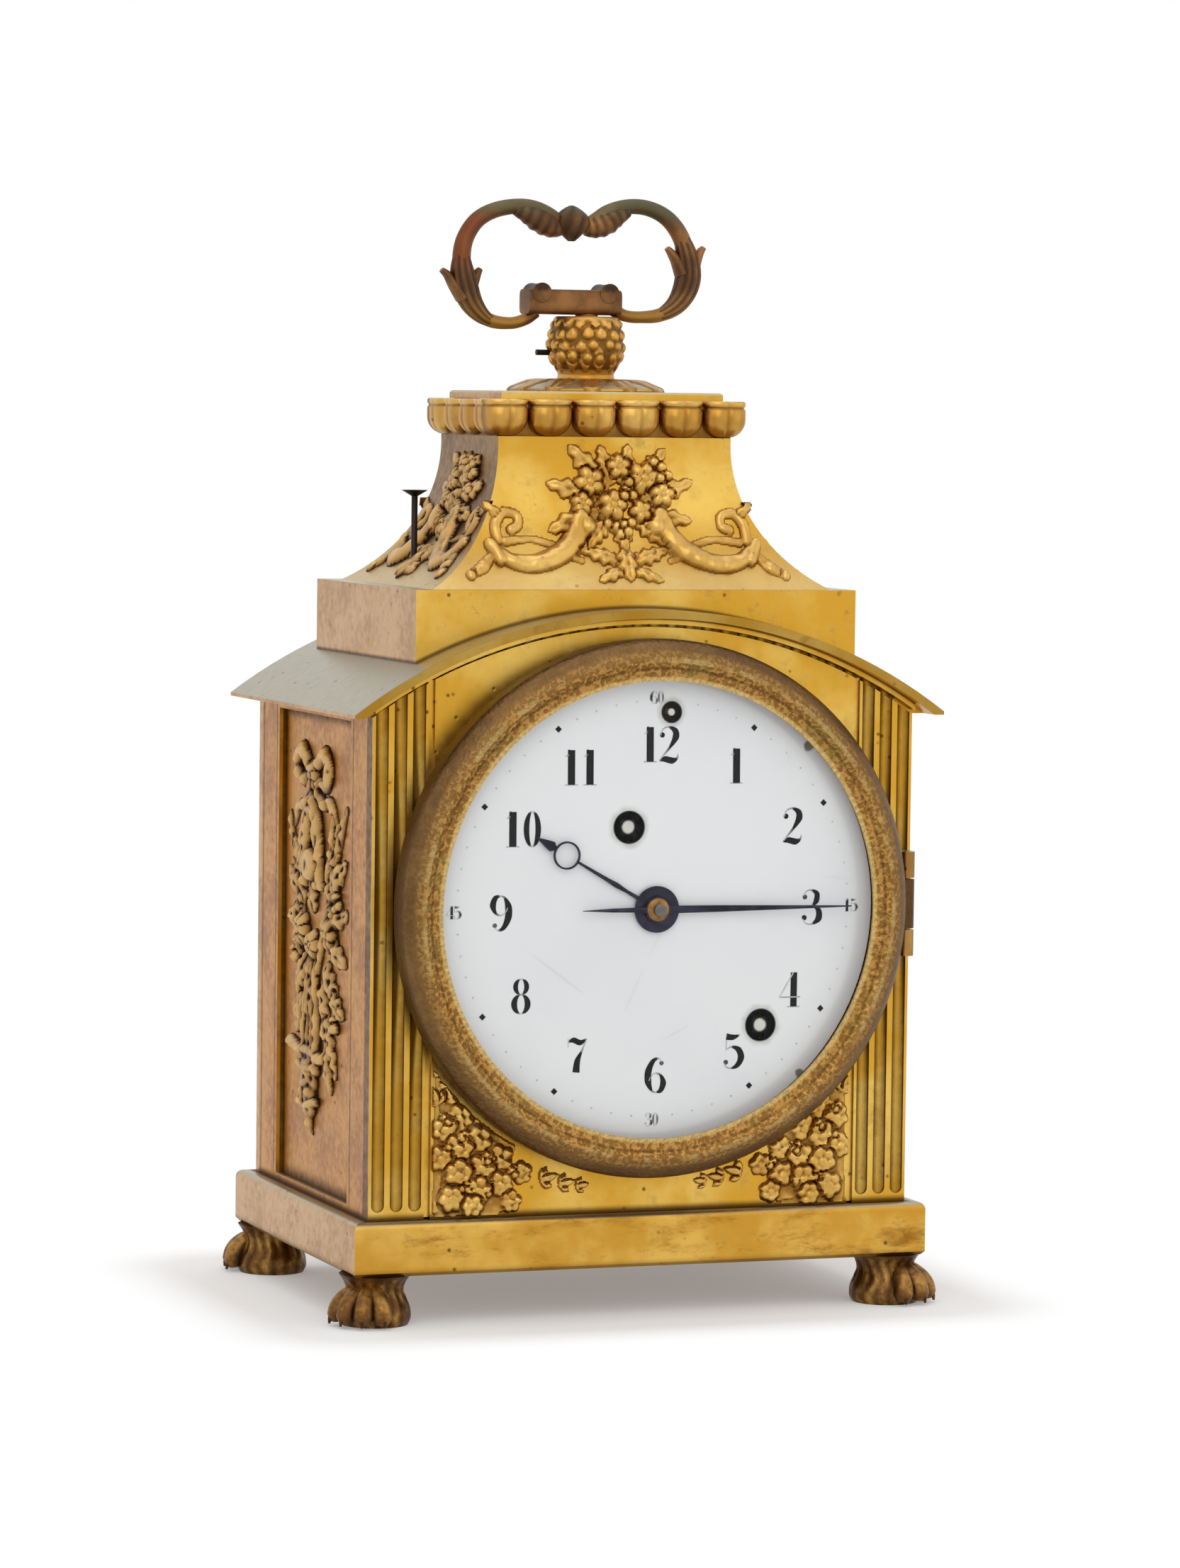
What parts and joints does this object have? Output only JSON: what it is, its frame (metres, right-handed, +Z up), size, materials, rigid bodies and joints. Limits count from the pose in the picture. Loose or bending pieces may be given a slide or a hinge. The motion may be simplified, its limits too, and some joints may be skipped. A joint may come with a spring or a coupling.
{
  "type": "officers clock",
  "caption": "Small gilt-bronze travelling clock with arched roof, swivelling scroll handle, hinged glazed dial and striking movement.",
  "frame": {"origin": "on the ground under the middle of the clock", "axes": "+Z up, the dial faces -Y, +X to the right seen from the front"},
  "size_m": [0.1228, 0.094, 0.2124],
  "materials": {
    "gilt_bronze": "satin",
    "bezel_gilt": "satin",
    "dark_bronze": "satin",
    "handle_bronze": "satin",
    "enamel": "gloss",
    "clear_glass": "clear",
    "blued_steel": "satin",
    "grey_steel": "satin",
    "movement_brass": "satin",
    "bell_metal": "satin"
  },
  "bodies": {
    "case": {"base_plinth": "gilt_bronze", "front_left_paw": "dark_bronze", "front_right_paw": "dark_bronze", "rear_left_paw": "dark_bronze", "rear_right_paw": "dark_bronze", "front_panel": "gilt_bronze", "pilasters": "gilt_bronze", "arch_moulding": "gilt_bronze", "left_side": "gilt_bronze", "right_side": "gilt_bronze", "side_trophies": "gilt_bronze", "spandrel_mounts": "gilt_bronze", "rear_frame": "gilt_bronze", "rear_hinge_pins": "grey_steel", "roof_cover": "gilt_bronze", "attic_block": "gilt_bronze", "cavetto_hood": "gilt_bronze", "hood_mounts": "gilt_bronze", "gadroon_cornice": "gilt_bronze", "cap_plate": "gilt_bronze", "finial_knob": "gilt_bronze", "handle_pin": "grey_steel", "tie_bolt": "grey_steel", "repeat_spring": "grey_steel", "dial_ring": "gilt_bronze", "bezel_hinge_pin": "grey_steel", "dial": "enamel", "bell": "bell_metal", "front_plate": "movement_brass", "back_plate": "movement_brass", "plate_screws": "blued_steel", "balance_cock": "movement_brass", "click_springs": "grey_steel"},
    "bezel_door": {"bezel": "bezel_gilt", "bezel_glass": "clear_glass"},
    "back_door": {"rear_door": "gilt_bronze"},
    "door_knob": {"rear_door_knob": "gilt_bronze"},
    "carry_handle": {"handle": "handle_bronze"},
    "repeat_pin": {"repeat_push": "grey_steel"},
    "minute_hand_group": {"cannon_pinion": "grey_steel", "minute_hand": "blued_steel", "hand_collet": "movement_brass"},
    "minute_wheel_body": {"minute_wheel": "movement_brass"},
    "hour_hand_group": {"hour_wheel": "movement_brass", "hour_hand": "blued_steel"},
    "fourth_body": {"fourth_wheel": "movement_brass"},
    "third_body": {"third_wheel": "movement_brass"},
    "centre_body": {"centre_wheel": "movement_brass"},
    "intermediate_body": {"intermediate_wheel": "movement_brass"},
    "going_barrel_body": {"going_barrel": "movement_brass"},
    "escape_body": {"escape_wheel": "movement_brass"},
    "balance_body": {"balance_wheel": "movement_brass", "hairspring": "blued_steel"},
    "going_winding": {"going_arbor": "grey_steel"},
    "strike_winding": {"strike_arbor": "grey_steel"},
    "regulator_body": {"regulator": "grey_steel"},
    "pin_wheel_body": {"pin_wheel": "movement_brass"},
    "strike_barrel_body": {"strike_barrel": "movement_brass"},
    "fly_body": {"strike_fly": "grey_steel"},
    "hammer_body": {"hammer": "grey_steel"}
  },
  "joints": [
    {"name": "bezel_swing", "type": "hinge", "parent": "case", "child": "bezel_door", "pos_m": [0.0519, -0.0409, 0.07785], "axis": [0, 0, 1], "range_deg": [0, 110]},
    {"name": "rear_door_swing", "type": "hinge", "parent": "case", "child": "back_door", "pos_m": [0.0392, 0.0383, 0.071], "axis": [0, 0, -1], "range_deg": [0, 110]},
    {"name": "door_knob_turn", "type": "hinge", "parent": "back_door", "child": "door_knob", "pos_m": [-0.0335, 0.04, 0.071], "axis": [0, 1, 0], "range_deg": [0, 90]},
    {"name": "handle_swivel", "type": "hinge", "parent": "case", "child": "carry_handle", "pos_m": [0, 0, 0.185], "axis": [0, 0, 1], "continuous": true},
    {"name": "repeat_push_slide", "type": "slide", "parent": "case", "child": "repeat_pin", "axis": [0, 0, -1], "range_m": [0, 0.0035], "stiffness_N_per_m": 150, "springref_m": -0.003, "deforming": ["repeat_spring"]},
    {"name": "minute_hand_turn", "type": "hinge", "parent": "case", "child": "minute_hand_group", "pos_m": [0, -0.04, 0.07785], "axis": [0, 1, 0], "continuous": true},
    {"name": "minute_wheel_turn", "type": "hinge", "parent": "case", "child": "minute_wheel_body", "pos_m": [0, -0.035, 0.06585], "axis": [0, 1, 0], "continuous": true},
    {"name": "hour_hand_turn", "type": "hinge", "parent": "case", "child": "hour_hand_group", "pos_m": [0, -0.038, 0.07785], "axis": [0, 1, 0], "continuous": true},
    {"name": "fourth_wheel_turn", "type": "hinge", "parent": "case", "child": "fourth_body", "pos_m": [-0.01884, -0.02, 0.05733], "axis": [0, 1, 0], "continuous": true},
    {"name": "third_wheel_turn", "type": "hinge", "parent": "case", "child": "third_body", "pos_m": [-0.0101, -0.02, 0.06775], "axis": [0, 1, 0], "continuous": true},
    {"name": "centre_wheel_turn", "type": "hinge", "parent": "case", "child": "centre_body", "pos_m": [0, -0.02, 0.07785], "axis": [0, 1, 0], "continuous": true},
    {"name": "intermediate_wheel_turn", "type": "hinge", "parent": "case", "child": "intermediate_body", "pos_m": [0.01422, -0.02, 0.07309], "axis": [0, 1, 0], "continuous": true},
    {"name": "going_barrel_turn", "type": "hinge", "parent": "case", "child": "going_barrel_body", "pos_m": [0.0217, -0.02, 0.05535], "axis": [0, 1, 0], "continuous": true},
    {"name": "escape_wheel_turn", "type": "hinge", "parent": "case", "child": "escape_body", "pos_m": [-0.02717, -0.02, 0.06726], "axis": [0, 1, 0], "continuous": true},
    {"name": "balance_swing", "type": "hinge", "parent": "case", "child": "balance_body", "pos_m": [-0.02717, -0.005, 0.06196], "axis": [0, 1, 0], "range_deg": [-150, 150], "stiffness_Nm_per_rad": 0.000007},
    {"name": "going_winding_turn", "type": "hinge", "parent": "case", "child": "going_winding", "pos_m": [0.0217, -0.03, 0.05535], "axis": [0, 1, 0], "continuous": true},
    {"name": "strike_winding_turn", "type": "hinge", "parent": "case", "child": "strike_winding", "pos_m": [-0.0055, -0.03, 0.09335], "axis": [0, 1, 0], "continuous": true},
    {"name": "regulator_turn", "type": "hinge", "parent": "case", "child": "regulator_body", "pos_m": [0.0029, -0.03, 0.11495], "axis": [0, 1, 0], "range_deg": [-90, 90]},
    {"name": "pin_wheel_turn", "type": "hinge", "parent": "case", "child": "pin_wheel_body", "pos_m": [-0.01763, -0.02, 0.10353], "axis": [0, 1, 0], "continuous": true},
    {"name": "strike_barrel_turn", "type": "hinge", "parent": "case", "child": "strike_barrel_body", "pos_m": [-0.0055, -0.02, 0.09335], "axis": [0, 1, 0], "continuous": true},
    {"name": "fly_turn", "type": "hinge", "parent": "case", "child": "fly_body", "pos_m": [-0.02906, -0.02, 0.09937], "axis": [0, 1, 0], "continuous": true},
    {"name": "hammer_swing", "type": "hinge", "parent": "case", "child": "hammer_body", "pos_m": [-0.0045, -0.008, 0.11085], "axis": [0, 1, 0], "range_deg": [0, 25]}
  ],
  "couplings": [
    {"joint": "minute_wheel_turn", "follows": "minute_hand_turn", "ratio": -0.33333},
    {"joint": "hour_hand_turn", "follows": "minute_hand_turn", "ratio": 0.083333},
    {"joint": "third_wheel_turn", "follows": "fourth_wheel_turn", "ratio": -0.13333},
    {"joint": "centre_wheel_turn", "follows": "fourth_wheel_turn", "ratio": 0.017778},
    {"joint": "intermediate_wheel_turn", "follows": "fourth_wheel_turn", "ratio": -0.0044444},
    {"joint": "going_barrel_turn", "follows": "fourth_wheel_turn", "ratio": 0.00074074},
    {"joint": "escape_wheel_turn", "follows": "fourth_wheel_turn", "ratio": -8},
    {"joint": "strike_barrel_turn", "follows": "pin_wheel_turn", "ratio": -0.125},
    {"joint": "fly_turn", "follows": "pin_wheel_turn", "ratio": -7}
  ]
}
